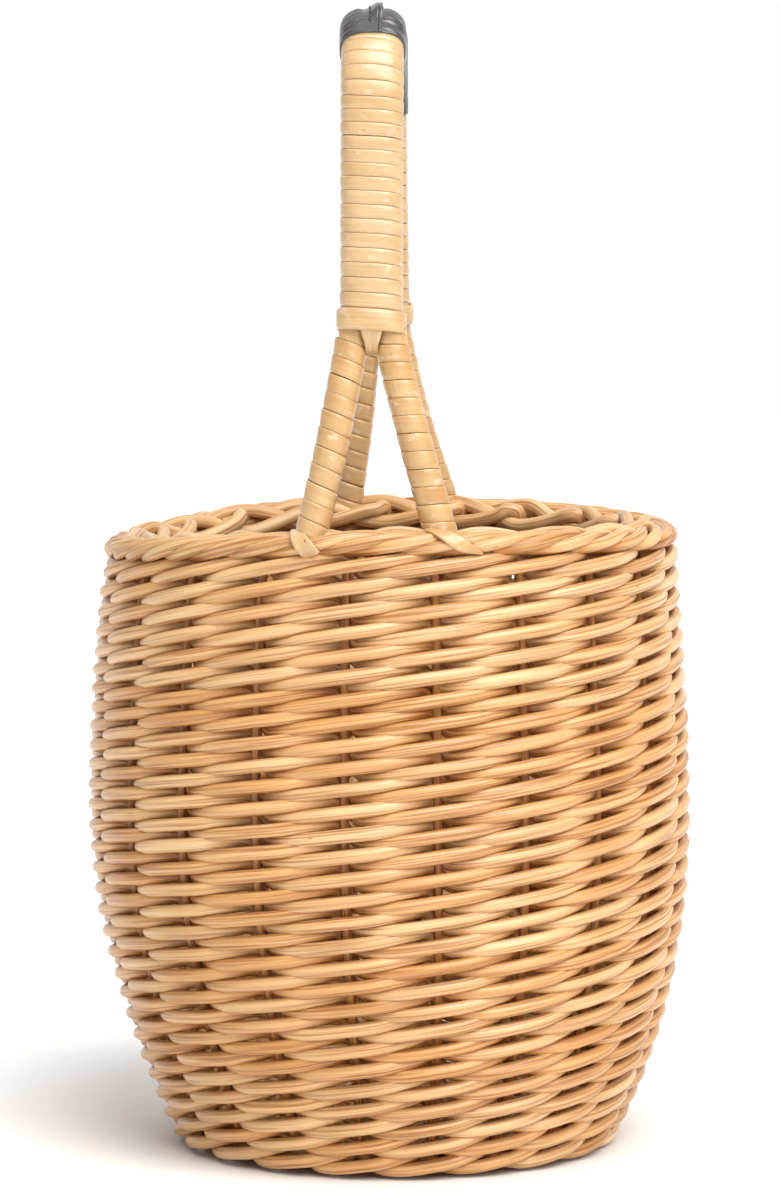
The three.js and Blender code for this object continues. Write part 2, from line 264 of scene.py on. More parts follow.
def settled(points):
    """Points of the woven body, moved as the handmade one is out of true.

    Its rim sags at both sides, its left side bulges and its foot stands a little to the right.
    """
    share = np.clip(points[..., 0] / RIM_RADIUS, -1, 1)
    height = points[..., 2]
    sink = np.where(share < 0, LEFT_SINK, RIGHT_SINK) * share**2
    bulge = LEFT_BULGE * np.clip(-share, 0, 1)
    moved = points.copy()
    moved[..., 2] -= sink * fade(height, 120 * MM, 220 * MM)
    moved[..., 0] -= bulge * fade(height, 40 * MM, 100 * MM) * fade(height, 225 * MM, 200 * MM)
    moved[..., 0] += FOOT_SHIFT * fade(height, 140 * MM, 20 * MM)
    return moved


def around(radius, turn, height):
    """Points at a radius, a turn from the front and a height."""
    radius, turn, height = np.broadcast_arrays(radius, turn, height)
    return np.stack([radius * np.sin(turn), -radius * np.cos(turn), height], axis=-1)


# ---------- materials ----------


def new_material(name):
    material = bpy.data.materials.new(name)
    material.use_nodes = True
    nodes = material.node_tree.nodes
    return material, nodes, material.node_tree.links, nodes["Principled BSDF"]


def grey(level):
    return (level, level, level)


def greys(stops):
    return [(position, grey(level)) for position, level in stops]


def set_gloss(shader, specular, coat, coat_roughness):
    shader.inputs["Specular IOR Level"].default_value = specular
    shader.inputs["Coat Weight"].default_value = coat
    shader.inputs["Coat Roughness"].default_value = coat_roughness


def grain_vector(nodes, links, scale):
    """The rod's own coordinates, stretched by scale (across, across, along)."""
    attribute = nodes.new("ShaderNodeAttribute")
    attribute.attribute_name = "grain"
    mapping = nodes.new("ShaderNodeMapping")
    mapping.inputs["Scale"].default_value = scale
    links.new(attribute.outputs["Vector"], mapping.inputs["Vector"])
    return mapping.outputs["Vector"]


def noise(nodes, links, vector, detail=2.0, scale=1.0, roughness=0.5):
    texture = nodes.new("ShaderNodeTexNoise")
    texture.inputs["Scale"].default_value = scale
    texture.inputs["Detail"].default_value = detail
    texture.inputs["Roughness"].default_value = roughness
    links.new(vector, texture.inputs["Vector"])
    return texture.outputs["Fac"]


def ramp(nodes, links, factor, stops):
    node = nodes.new("ShaderNodeValToRGB")
    elements = node.color_ramp.elements
    while len(elements) < len(stops):
        elements.new(0.5)
    for element, (position, colour) in zip(elements, stops):
        element.position = position
        element.color = (*colour, 1.0)
    links.new(factor, node.inputs["Fac"])
    return node.outputs["Color"]


def mixed(nodes, links, factor, first, second, blend="MIX"):
    """Two colours mixed; a plain number or colour may stand for any of the three inputs."""
    node = nodes.new("ShaderNodeMix")
    node.data_type = "RGBA"
    node.blend_type = blend
    sockets = (node.inputs[0], node.inputs[6], node.inputs[7])
    for socket, value in zip(sockets, (factor, first, second)):
        if isinstance(value, bpy.types.NodeSocket):
            links.new(value, socket)
        elif isinstance(value, tuple):
            socket.default_value = (*value, 1.0)
        else:
            socket.default_value = value
    return node.outputs[2]


def toned(nodes, links, colour, texture, stops, amount=1.0):
    """The colour multiplied by tones that a ramp picks from a texture."""
    return mixed(nodes, links, amount, colour, ramp(nodes, links, texture, stops), "MULTIPLY")


def marked(nodes, links, colour, texture, stops, mark):
    """The colour with marks of another where the texture is high; stops are greys."""
    return mixed(nodes, links, ramp(nodes, links, texture, greys(stops)), colour, mark)


def bumped(nodes, links, height, strength, distance, normal=None):
    bump = nodes.new("ShaderNodeBump")
    bump.inputs["Strength"].default_value = strength
    bump.inputs["Distance"].default_value = distance
    links.new(height, bump.inputs["Height"])
    if normal is not None:
        links.new(normal, bump.inputs["Normal"])
    return bump.outputs["Normal"]


def map_range(nodes, links, value, low, high):
    node = nodes.new("ShaderNodeMapRange")
    node.inputs["To Min"].default_value = low
    node.inputs["To Max"].default_value = high
    links.new(value, node.inputs["Value"])
    return node.outputs["Result"]


def cane_material(name, deep, dark, light, roughness):
    """Round cane: long fibres, a tint of its own for each rod, which painted shade may lower
    towards the deep colour, brown flecks and a satin skin.
    """
    material, nodes, links, shader = new_material(name)
    fibres = noise(nodes, links, grain_vector(nodes, links, (1150, 1150, 22)), detail=3.0)
    streaks = noise(nodes, links, grain_vector(nodes, links, (620, 620, 14)), detail=2.0)
    patches = noise(nodes, links, grain_vector(nodes, links, (120, 120, 28)), detail=2.0)
    flecks = noise(nodes, links, grain_vector(nodes, links, (800, 800, 160)), detail=1.0)
    tint = nodes.new("ShaderNodeAttribute")
    tint.attribute_name = "tint"
    body = ramp(nodes, links, tint.outputs["Fac"], [(0.0, deep), (0.4, dark), (1.0, light)])
    body = toned(nodes, links, body, streaks, [(0.32, (0.8, 0.7, 0.58)), (0.56, grey(1))])
    body = toned(nodes, links, body, fibres, [(0.36, (0.6, 0.44, 0.3)), (0.52, grey(1.02))], 0.95)
    body = toned(nodes, links, body, patches, [(0.35, (0.9, 0.86, 0.78)), (0.65, grey(1.03))])
    body = marked(nodes, links, body, flecks, [(0.77, 0), (0.82, 0.8)], (0.3, 0.13, 0.04))
    links.new(body, shader.inputs["Base Color"])
    sheen = map_range(nodes, links, fibres, roughness - 0.08, roughness + 0.12)
    links.new(sheen, shader.inputs["Roughness"])
    set_gloss(shader, specular=0.45, coat=0.18, coat_roughness=0.28)
    normal = bumped(nodes, links, fibres, 0.5, 0.00012)
    normal = bumped(nodes, links, streaks, 0.4, 0.0003, normal)
    links.new(normal, shader.inputs["Normal"])
    return material


def wrapping_material(name):
    """Split wrapping cane: the plant's own glossy skin, with faint ribs, nodes and brown marks, and
    a paler colour that is painted sheen on the columns.
    """
    material, nodes, links, shader = new_material(name)
    fibres = noise(nodes, links, grain_vector(nodes, links, (1500, 1500, 45)), detail=3.0)
    broad = grain_vector(nodes, links, (90, 90, 60))
    patches = noise(nodes, links, broad, detail=3.0, roughness=0.6)
    tint = nodes.new("ShaderNodeAttribute")
    tint.attribute_name = "tint"
    blots = noise(nodes, links, grain_vector(nodes, links, (260, 260, 190)), detail=2.0)
    marks = noise(nodes, links, grain_vector(nodes, links, (520, 520, 300)), detail=1.0)
    golden = ramp(nodes, links, patches, [(0.3, (0.45, 0.23, 0.075)), (0.6, (0.56, 0.34, 0.13))])
    # pale: a paler, less golden colour, painted sheen for the light the columns catch
    pale = ramp(nodes, links, patches, [(0.3, (0.53, 0.335, 0.16)), (0.6, (0.59, 0.415, 0.23))])
    body = mixed(nodes, links, tint.outputs["Fac"], golden, pale)
    body = toned(nodes, links, body, fibres, [(0.3, (0.88, 0.8, 0.68)), (0.55, grey(1))], 0.8)
    body = marked(nodes, links, body, blots, [(0.6, 0), (0.72, 0.7)], (0.68, 0.53, 0.36))
    body = marked(nodes, links, body, marks, [(0.76, 0), (0.8, 1)], (0.22, 0.1, 0.04))
    links.new(body, shader.inputs["Base Color"])
    links.new(map_range(nodes, links, patches, 0.28, 0.5), shader.inputs["Roughness"])
    set_gloss(shader, specular=0.6, coat=0.6, coat_roughness=0.32)
    links.new(bumped(nodes, links, fibres, 0.35, 0.0001), shader.inputs["Normal"])
    return material


def leather_material(name):
    """Soft black leather: a fine pebbled grain, creases, and a little brown where it is worn."""
    material, nodes, links, shader = new_material(name)
    place = nodes.new("ShaderNodeTexCoord").outputs["Object"]
    pebbles = nodes.new("ShaderNodeTexVoronoi")
    pebbles.feature = "SMOOTH_F1"
    pebbles.inputs["Scale"].default_value = 1500.0
    links.new(place, pebbles.inputs["Vector"])
    creases = noise(nodes, links, place, detail=4.0, scale=180.0, roughness=0.65)
    wear = noise(nodes, links, place, detail=3.0, scale=60.0)
    black = (0.014, 0.011, 0.0115)
    soft_black = (0.024, 0.0185, 0.0185)
    brown = (0.045, 0.032, 0.029)
    body = ramp(nodes, links, wear, [(0.35, black), (0.6, soft_black), (0.8, brown)])
    links.new(body, shader.inputs["Base Color"])
    links.new(map_range(nodes, links, creases, 0.28, 0.46), shader.inputs["Roughness"])
    set_gloss(shader, specular=0.9, coat=0.5, coat_roughness=0.28)
    normal = bumped(nodes, links, pebbles.outputs["Distance"], 0.35, 0.00015)
    normal = bumped(nodes, links, creases, 0.5, 0.0006, normal)
    links.new(normal, shader.inputs["Normal"])
    return material


def thread_material(name):
    """Black waxed thread with the slant of its plies."""
    material, nodes, links, shader = new_material(name)
    plies = noise(nodes, links, grain_vector(nodes, links, (1800, 1800, 1400)), detail=1.0)
    body = ramp(nodes, links, plies, [(0.35, (0.006, 0.005, 0.005)), (0.65, (0.03, 0.026, 0.024))])
    links.new(body, shader.inputs["Base Color"])
    shader.inputs["Roughness"].default_value = 0.55
    links.new(bumped(nodes, links, plies, 0.5, 0.0001), shader.inputs["Normal"])
    return material


def floor_material(name):
    """A plain pale sheet with the faintest mottling, darker near the bag as painted shade round its
    foot, and whiter away from it.
    """
    material, nodes, links, shader = new_material(name)
    place = nodes.new("ShaderNodeTexCoord").outputs["Object"]
    mottle = noise(nodes, links, place, detail=2.0, scale=3.0)
    # painted shade: the sheet is darker within about 0.3 m of the bag's middle
    near = ramp(nodes, links, mottle, [(0.3, (0.81, 0.8, 0.79)), (0.7, (0.83, 0.82, 0.81))])
    distance = nodes.new("ShaderNodeVectorMath")
    distance.operation = "LENGTH"
    links.new(place, distance.inputs[0])
    body = marked(nodes, links, near, distance.outputs["Value"], [(0.08, 0), (0.3, 1)], grey(1))
    links.new(body, shader.inputs["Base Color"])
    shader.inputs["Roughness"].default_value = 0.9
    return material


weaving_cane = cane_material(
    "weaving_cane", (0.6, 0.26, 0.07), (0.64, 0.355, 0.14), (0.7, 0.465, 0.25), 0.36
)
# The stakes' cane is darker than the weaving cane: painted shade, the deep colour of the shaded
# strands, so the stakes pass for shade in the gaps between rows. The base sticks and the handle's
# rods use it too.
stake_cane = cane_material(
    "stake_cane", (0.55, 0.23, 0.06), (0.6, 0.27, 0.08), (0.63, 0.31, 0.105), 0.5
)
border_cane = cane_material(
    "border_cane", (0.5, 0.215, 0.055), (0.6, 0.345, 0.14), (0.68, 0.445, 0.225), 0.38
)
handle_cane = wrapping_material("handle_cane")
black_leather = leather_material("black_leather")
seam_thread = thread_material("seam_thread")


# ---------- wall weaving ----------

STRANDS = 2               # each passes in front of one stake, then behind the next
ROW_DRIFT = 0.04          # how far rows are out of step, in stake spacings
ROW_WAVE = 0.22 * MM
STRAND_WAVE = 0.2 * MM
END_TUCK = 1.6 * MM       # how far a rod's ends are pushed inward
UNEVEN_WEAVING = 0.035    # share of a rod's radius
SHADED_FROM = 2.4 * MM    # outward; from here in a strand's tint is darkened with painted shade, as far as the stakes hide it
SHADED_TO = -0.6 * MM
# from HIDDEN_FROM in to HIDDEN_TO the painted shade fades out again, on a strand's inner bows
HIDDEN_FROM = -2.2 * MM
HIDDEN_TO = -4.2 * MM

# A strand's path past two stakes: in front of one at phase 0, behind the next at phase 1. It
# climbs while it is outside, dives at its highest and comes out again at its lowest.
# Columns: phase, outward and upward in millimetres.
STRAND_PATH = [
    (0.0, 4.0, 0.0),
    (0.2, 3.9, 0.8),
    (0.4, 3.2, 1.7),
    (0.58, 2.0, 2.6),
    (0.75, 0.3, 3.1),
    (0.88, -2.1, 3.2),
    (1.0, -4.2, 0.0),
    (1.12, -2.1, -3.2),
    (1.25, 0.2, -3.2),
    (1.4, 2.0, -2.7),
    (1.56, 3.2, -2.0),
    (1.78, 3.9, -1.0),
]


def periodic(knots, values, period, places):
    """A smooth closed curve through the values at the knots."""
    laps = (-1, 0, 1)
    long_knots = np.concatenate([np.array(knots) + lap * period for lap in laps])
    long_values = np.tile(values, len(laps))
    slopes = np.gradient(long_values, long_knots)
    places = np.mod(places, period)
    span = np.searchsorted(long_knots, places, side="right") - 1
    width = long_knots[span + 1] - long_knots[span]
    t = (places - long_knots[span]) / width
    return (
        (1 + 2 * t) * (1 - t) ** 2 * long_values[span]
        + t * (1 - t) ** 2 * width * slopes[span]
        + t**2 * (3 - 2 * t) * long_values[span + 1]
        + t**2 * (t - 1) * width * slopes[span + 1]
    )


def strand_offsets(phase):
    knots, out, up = np.array(STRAND_PATH).T
    return periodic(knots, out, STRANDS, phase) * MM, periodic(knots, up, STRANDS, phase) * MM


def weave_row(bundle, row_length, rng, samples=16):
    """One row of pairing. Each strand is two or three rods whose ends meet behind a stake."""
    drift = rng.normal(0, ROW_DRIFT)
    sag_seed, *depth_seeds = rng.integers(1 << 30, size=1 + STRANDS)
    for strand, depth_seed in enumerate(depth_seeds):
        inside = np.arange(STAKES)[(np.arange(STAKES) + strand) % STRANDS == 1]
        joins = sorted(rng.choice(inside, size=rng.integers(2, 4), replace=False))
        for first, last in zip(joins, joins[1:] + [joins[0] + STAKES]):
            rod_radius = ROD_RADIUS * (1 + rng.normal(0, UNEVEN_WEAVING))
            spacing = np.arange(first * samples, last * samples + samples // 3 + 1) / samples
            turn = STAKE_TURN + (spacing + drift) * STAKE_STEP
            sag = wander(turn, np.random.default_rng(sag_seed), ROW_WAVE)
            depth = wander(turn, np.random.default_rng(depth_seed), STRAND_WAVE, waves=9)
            out, up = strand_offsets(spacing + strand)
            # painted shade: the tint is lowered where the strand runs behind the stakes
            painted_shade = fade(out, SHADED_FROM, SHADED_TO) * fade(out, HIDDEN_TO, HIDDEN_FROM)
            tint = rng.uniform(0.35, 1) - 0.4 * painted_shade
            near_end = np.minimum(spacing - spacing[0], spacing[-1] - spacing)
            out = out + depth - END_TUCK * fade(near_end, 0.4, 0)
            up = up + 0.5 * depth
            radius, height, normal_out, normal_up = side_at(row_length + up + sag)
            line = around(radius + out * normal_out, turn, height + out * normal_up)
            facing = around(normal_out, turn, normal_up)
            bundle.rod(settled(line), rod_radius, facing, tint)


def band_of(height):
    """The CAD band that a row belongs to."""
    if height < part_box("foot_weaving")[1].z:
        return "foot_weaving"
    for band in range(1, 5):
        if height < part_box(f"wall_weaving_{band}")[1].z:
            return f"wall_weaving_{band}"
    return "wall_weaving_4"


def make_wall():
    rng = np.random.default_rng(7)
    lengths = np.linspace(length_at(FIRST_ROW), length_at(LAST_ROW), ROWS)
    for row, row_length in enumerate(lengths):
        bundle = Bundle()
        weave_row(bundle, row_length, rng)
        height = np.interp(row_length, SIDE_LENGTH, SIDE_HEIGHT)
        bundle.build(f"weaving_row_{row + 1:02d}", weaving_cane, [band_of(height)])


# ---------- stakes and base ----------

STAKE_BOTTOM = 16 * MM
STAKE_TOP = 215 * MM
STAKE_FOOT = [(53, 7.5), (62, 7.5), (69, 7.7), (74.5, 10.4)]   # its bend: radius, height in mm
QUARTER = STAKES // 4

STICKS = 5
STICK_TURN = math.radians(15)
STICK_RADIUS = 1.8 * MM
STICK_GAP = 4.6 * MM                    # between sticks where they cross
STICK_LEVELS = (5.4 * MM, 9.6 * MM)     # of the lower and the upper group

BASE_ROUNDS = np.linspace(19.5, 69.5, 10) * MM
DOUBLED_ROUNDS = 2                      # the first rounds pass over the sticks in pairs
DOUBLED_ROD_RADIUS = 1.5 * MM
BASE_ROD_RADIUS = 1.75 * MM
BASE_SWING = 3.4 * MM                   # above and below the base's middle
BASE_SWAY = 1.5 * MM                    # outward and inward of the round


def spline(points, samples):
    """A smooth Catmull-Rom curve through given points."""
    points = np.asarray(points, dtype=float)
    padded = np.vstack([2 * points[0] - points[1], points, 2 * points[-1] - points[-2]])
    spans = len(points) - 1
    place = np.linspace(0, spans, samples)
    span = np.minimum(place.astype(int), spans - 1)
    t = (place - span)[:, None]
    p0, p1, p2, p3 = padded[span], padded[span + 1], padded[span + 2], padded[span + 3]
    return 0.5 * (
        2 * p1
        + (p2 - p0) * t
        + (2 * p0 - 5 * p1 + 4 * p2 - p3) * t**2
        + (3 * p1 - p0 - 3 * p2 + p3) * t**3
    )


def make_stakes():
    rng = np.random.default_rng(11)
    for index in range(STAKES):
        turn = STAKE_TURN + index * STAKE_STEP
        heights = np.linspace(STAKE_BOTTOM, STAKE_TOP, 12)
        radii = np.interp(heights, SIDE_HEIGHT, SIDE_RADIUS) - STAKE_DEPTH
        wall = np.stack([radii, heights], axis=-1)
        line = spline(np.vstack([np.array(STAKE_FOOT) * MM, wall]), 48)
        centres = settled(around(line[:, 0], turn, line[:, 1]))
        facing = around(1.0, turn + math.pi / 2, 0.0)
        bundle = Bundle()
        bundle.rod(centres, STAKE_RADIUS, facing, rng.uniform(0, 1), sides=10)
        # the frame's stakes count from +X, a quarter turn on from the front
        number = (index + STAKES - QUARTER) % STAKES + 1
        bundle.build(f"stake_{number:02d}", stake_cane, [f"side_stake_{number:02d}"])


def make_base_sticks():
    """Five sticks crossed over five; outside the cross they fan out and come to one level."""
    rng = np.random.default_rng(13)
    for group, group_name in enumerate(("lower", "upper")):
        level = STICK_LEVELS[group]
        direction = STICK_TURN + (group + 1) * math.pi / 2
        for place in range(STICKS):
            from_middle = place - STICKS // 2
            fan = from_middle * STAKE_STEP
            side = from_middle * STICK_GAP
            half = np.array([
                [0, side, level],
                [9 * MM, side, level],
                [15 * MM, side * 1.25, level],
                [30 * MM, 30 * MM * math.tan(fan), (level + 3 * BASE_MIDDLE) / 4],
                [45 * MM * math.cos(fan), 45 * MM * math.sin(fan), BASE_MIDDLE],
                [70 * MM * math.cos(fan), 70 * MM * math.sin(fan), BASE_MIDDLE],
            ])
            other = half[:0:-1] * np.array([-1, 1, 1])
            line = spline(np.vstack([other, half]), 60)
            turned = np.stack([
                line[:, 0] * math.sin(direction) + line[:, 1] * math.cos(direction),
                -line[:, 0] * math.cos(direction) + line[:, 1] * math.sin(direction),
                line[:, 2],
            ], axis=-1)
            bundle = Bundle()
            bundle.rod(settled(turned), STICK_RADIUS, UPWARD, rng.uniform(0, 1), sides=10)
            node = f"{group_name}_base_stick_{place + 1}"
            bundle.build(f"{group_name}_stick_{place + 1}", stake_cane, [node])


def make_base_weaving():
    """Rounds of two-strand pairing: over pairs of sticks near the cross, then single ones."""
    rng = np.random.default_rng(17)
    bundle = Bundle()
    samples = 8
    for number, middle in enumerate(BASE_ROUNDS):
        doubled = number < DOUBLED_ROUNDS
        spokes = STAKES // 2 if doubled else STAKES
        rod_radius = DOUBLED_ROD_RADIUS if doubled else BASE_ROD_RADIUS
        for strand in (0, 1):
            spacing = np.arange(spokes * samples + 1) / samples
            turn = STICK_TURN + spacing * TAU / spokes
            phase = spacing + strand
            down = BASE_SWING * np.cos(math.pi * phase)
            sway = BASE_SWAY * np.sin(math.pi * phase)
            radius = middle + sway + wander(turn, rng, 0.15 * MM)
            centres = settled(around(radius, turn, BASE_MIDDLE - down))
            bundle.rod(centres, rod_radius, UPWARD, rng.uniform(0, 1), sides=8)
    bundle.build("base_weave", weaving_cane, ["base_weaving"])


# ---------- border ----------

ROLL_HALF_WIDTH = 4.5 * MM
ROLL_HALF_HEIGHT = 2.3 * MM
BORDER_ROD_RADIUS = 2.3 * MM
PLAIT_ROD_RADIUS = 2.6 * MM
ROLL_RADIUS = RIM_RADIUS - ROLL_HALF_WIDTH - BORDER_ROD_RADIUS
ROLL_HEIGHT = RIM_HEIGHT + 0.6 * MM - ROLL_HALF_HEIGHT - BORDER_ROD_RADIUS
CLIMB_START = math.radians(-95)      # round the roll, from its outermost line
CLIMB_LOWEST = math.radians(-128)
CLIMB_RATE = math.radians(158)       # per stake spacing
PAIR_LAG = 0.5                       # stake spacings between the two rods of a stake
UNEVEN_BORDER = 0.04                 # share of a rod's radius


def make_rolled_border():
    """Each stake's rods climb round the outside of the roll, cross its top and dive inside."""
    rng = np.random.default_rng(19)
    bundle = Bundle()
    for index in range(STAKES):
        shade = rng.uniform(0.45, 1)
        for rod in (0, 1):
            spacing = np.linspace(-0.6, 1.9, 44)
            angle = CLIMB_START + CLIMB_RATE * (spacing - rod * PAIR_LAG)
            angle = np.maximum(angle, CLIMB_LOWEST)
            turn = STAKE_TURN + (index + spacing) * STAKE_STEP
            swell = 1 + 0.05 * np.sin(angle * 2 + index) + rng.normal(0, 0.02)
            radius = ROLL_RADIUS + ROLL_HALF_WIDTH * swell * np.cos(angle)
            height = ROLL_HEIGHT + ROLL_HALF_HEIGHT * swell * np.sin(angle)
            centres = settled(around(radius, turn, height))
            facing = around(1.0, turn, 0.0)
            # painted shade: each rod is darker on the underside of the roll; the per-stake value
            # above is the rod's own random tone
            low = fade(np.sin(angle), -0.2, -1)
            tint = np.clip(shade + rng.normal(0, 0.2), 0, 1) - 0.7 * low
            rod_radius = BORDER_ROD_RADIUS * (1 + rng.normal(0, UNEVEN_BORDER))
            bundle.rod(centres, rod_radius, facing, tint)
    bundle.build("border_roll", border_cane, ["rolled_border"])


# One rod end of the inner plait: stake spacings along it, radius and height in millimetres.
# It comes over the top, dives under its neighbour, hooks up again and is tucked back outward.
PLAIT_PATH = [
    (-0.25, 95.0, 223.6),
    (0.1, 94.0, 226.2),
    (0.45, 91.6, 226.8),
    (0.8, 89.2, 224.4),
    (1.1, 88.4, 221.4),
    (1.4, 87.0, 219.4),
    (1.75, 85.4, 220.8),
    (2.08, 85.2, 223.4),
    (2.28, 86.4, 224.9),
    (2.38, 89.0, 225.2),
    (2.4, 92.0, 222.8),
]


def make_inner_plait():
    rng = np.random.default_rng(23)
    bundle = Bundle()
    for index in range(STAKES):
        uneven = rng.normal(0, 1, (len(PLAIT_PATH), 3)) * (0.015, 0.22, 0.22)
        path = np.array(PLAIT_PATH) + uneven
        path[-3:, 0] += rng.uniform(-0.1, 0.08)
        line = spline(path, 66)
        turn = STAKE_TURN - (index + line[:, 0]) * STAKE_STEP
        centres = settled(around(line[:, 1] * MM, turn, line[:, 2] * MM))
        facing = around(1.0, turn, 0.0)
        rod_radius = PLAIT_ROD_RADIUS * (1 + rng.normal(0, UNEVEN_BORDER))
        # painted light: the plait takes the light end of the tint, and the lighter weaving cane,
        # for the lit top of the bag's inside
        bundle.rod(centres, rod_radius, facing, rng.uniform(0.7, 1.0))
    bundle.build("border_plait", weaving_cane, ["inner_border_plait"])


# ---------- handle ----------

BEND_HEIGHT = GRIP_HEIGHT - BEND_RADIUS
COLUMN_LENGTH = (BEND_HEIGHT + BEND_RADIUS * math.sin(LEAN) - FORK_HEIGHT) / math.cos(LEAN)
BEND_LENGTH = BEND_RADIUS * (math.pi / 2 - LEAN)
BEND_REACH = FORK_REACH - COLUMN_LENGTH * math.sin(LEAN) - BEND_RADIUS * math.cos(LEAN)
ARCH_LENGTH = 2 * (COLUMN_LENGTH + BEND_LENGTH + BEND_REACH)
SLEEVE_START = COLUMN_LENGTH + BEND_RADIUS * (SLEEVE_FRONT_ANGLE - LEAN)
SLEEVE_END = ARCH_LENGTH - COLUMN_LENGTH - BEND_RADIUS * (SLEEVE_BACK_ANGLE - LEAN)
COLLAR_TOP_LENGTH = (COLLAR_TOP - FORK_HEIGHT) / math.cos(LEAN)


def arch_line(length):
    """Centre, direction and outward normal of the handle's arch at lengths from the front fork."""
    length = np.asarray(length, dtype=float)
    nearer = np.minimum(length, ARCH_LENGTH - length)
    angle = LEAN + np.clip((nearer - COLUMN_LENGTH) / BEND_RADIUS, 0, math.pi / 2 - LEAN)
    on_column = np.minimum(nearer, COLUMN_LENGTH)
    on_grip = np.maximum(nearer - COLUMN_LENGTH - BEND_LENGTH, 0)
    bend_out = BEND_RADIUS * (math.cos(LEAN) - np.cos(angle))
    bend_up = BEND_RADIUS * (np.sin(angle) - math.sin(LEAN))
    reach = FORK_REACH - on_column * math.sin(LEAN) - bend_out - on_grip
    height = FORK_HEIGHT + on_column * math.cos(LEAN) + bend_up
    side = np.where(length < ARCH_LENGTH / 2, -1.0, 1.0)
    zero = np.zeros_like(length)
    shift = FRONT_SHIFT + (BACK_SHIFT - FRONT_SHIFT) * (length / ARCH_LENGTH) ** 2
    centre = np.stack([shift, side * reach, height], axis=-1)
    direction = np.stack([zero, np.sin(angle), -side * np.cos(angle)], axis=-1)
    outward = np.stack([zero, side * np.cos(angle), np.sin(angle)], axis=-1)
    return centre, direction, outward


class Leg:
    """A leg's middle line, from inside the border up to the collar at the fork."""

    def __init__(self, end, hand):
        side = ENDS[end]
        at_fork = 0.0 if side < 0 else ARCH_LENGTH
        fork, along, self.out = arch_line(np.array(at_fork))
        up = along * np.sign(along[2])
        spread = HANDS[hand] * SIDEWAYS
        self.foot = np.array([FEET[end, hand], side * FOOT_REACH, RIM_HEIGHT])
        fork_point = fork + FORK_SPREAD[end] * spread
        slope = unit(fork_point - self.foot)
        middle = (self.foot + fork_point) / 2 + LEG_BOW[end, hand] * spread + 0.8 * MM * self.out
        self.points = np.array([
            self.foot - 9 * MM * slope,
            self.foot,
            middle,
            fork_point,
            fork + (FORK_SPREAD[end] - 1.2 * MM) * spread + 10 * MM * up,
        ])
        self.curve = spline(self.points, 120)
        self.lengths = lengths_along(self.curve)
        self.length = self.lengths[-1]

    def line(self, length):
        length = np.asarray(length, dtype=float)
        near, far = self.at(length - 0.5 * MM), self.at(length + 0.5 * MM)
        direction = unit(far - near)
        return (near + far) / 2, direction, square_to(self.out, direction)

    def at(self, length):
        return np.stack([np.interp(length, self.lengths, self.curve[:, i]) for i in range(3)], -1)


def oval(turn, half_width, half_depth, squareness):
    """A rounded oblong as (side, out); squareness 2 gives an ellipse."""
    side, out = np.sin(turn), np.cos(turn)
    power = 2 / squareness
    return (
        half_width * np.sign(side) * np.abs(side) ** power,
        half_depth * np.sign(out) * np.abs(out) ** power,
    )


# A strip of cane in section, as shares of its half width and of its thickness.
STRIP_PLACE = np.array([-1, -0.98, -0.88, -0.6, -0.2, 0.2, 0.6, 0.88, 0.98, 1, 0.8, 0, -0.8])
STRIP_CROWN = np.array([0.0, 0.5, 0.84, 0.97, 1, 1, 0.97, 0.84, 0.5, 0, -0.25, -0.25, -0.25])
WOUND_THICKNESS = 0.55 * MM
WOUND_TILT = 0.14 * MM        # each turn's later edge lies on the next one
TURN_FACETS = 30


def wind(bundle, line, start, end, size, pitches, rng, tints):
    """Flat cane wound in a close helix round a line, each turn crowned and a little uneven.

    size is the outside of the finished wrap: half width, half depth and squareness. pitches are
    the widths of the first and the last turn. A fresh length of cane, with its own tint, takes
    over every few turns.
    """
    turns = (end - start) / np.mean(pitches) - 1
    knots = int(turns) + 3
    loose = rng.normal(0, 0.1 * MM, knots)
    lift = rng.normal(0, 0.05 * MM, 2 * knots)
    begin = rng.uniform(0, TAU)
    first = 0.0
    while first < turns:
        last = min(turns, first + rng.integers(3, 7))
        if turns - last < 2:
            last = turns
        wound = np.linspace(first, last, int((last - first) * TURN_FACETS) + 2)
        angle = begin + TAU * wound
        pitch = np.interp(wound, [0, turns], pitches)
        middle = start + pitches[0] / 2 + (pitches[0] + pitch) / 2 * wound
        middle += np.interp(wound, np.arange(knots), loose)
        lifted = np.interp(wound * 2, np.arange(2 * knots), lift)
        half_width = pitch[:, None] * 0.498
        place = middle[:, None] + half_width * STRIP_PLACE[None]
        height = WOUND_THICKNESS * (STRIP_CROWN - 1) + WOUND_TILT * STRIP_PLACE
        centre, direction, outward = line(place)
        sideways = np.cross(outward, direction)
        rise = lifted[:, None] + height[None]
        side, out = oval(angle[:, None], size[0] + rise, size[1] + rise, size[2])
        rings = centre + side[..., None] * sideways + out[..., None] * outward
        profile = np.stack([STRIP_PLACE * np.mean(half_width), height], axis=-1)
        along = np.abs(angle) * (size[0] + size[1]) / 2
        tint = rng.uniform(*tints)
        bundle.sweep(rings, profile, along, tint, offset=rng.uniform(0, 1))
        first = last


UNDER_COLLAR = 9 * MM         # how far the columns' wrapping runs on under the collars
UNDER_SLEEVE = 4 * MM
COLUMN_PITCHES = {"front": np.array([5.3, 4.2]) * MM, "back": np.array([4.4, 5.2]) * MM}
LEG_PITCHES = np.array([6.3, 6.2]) * MM


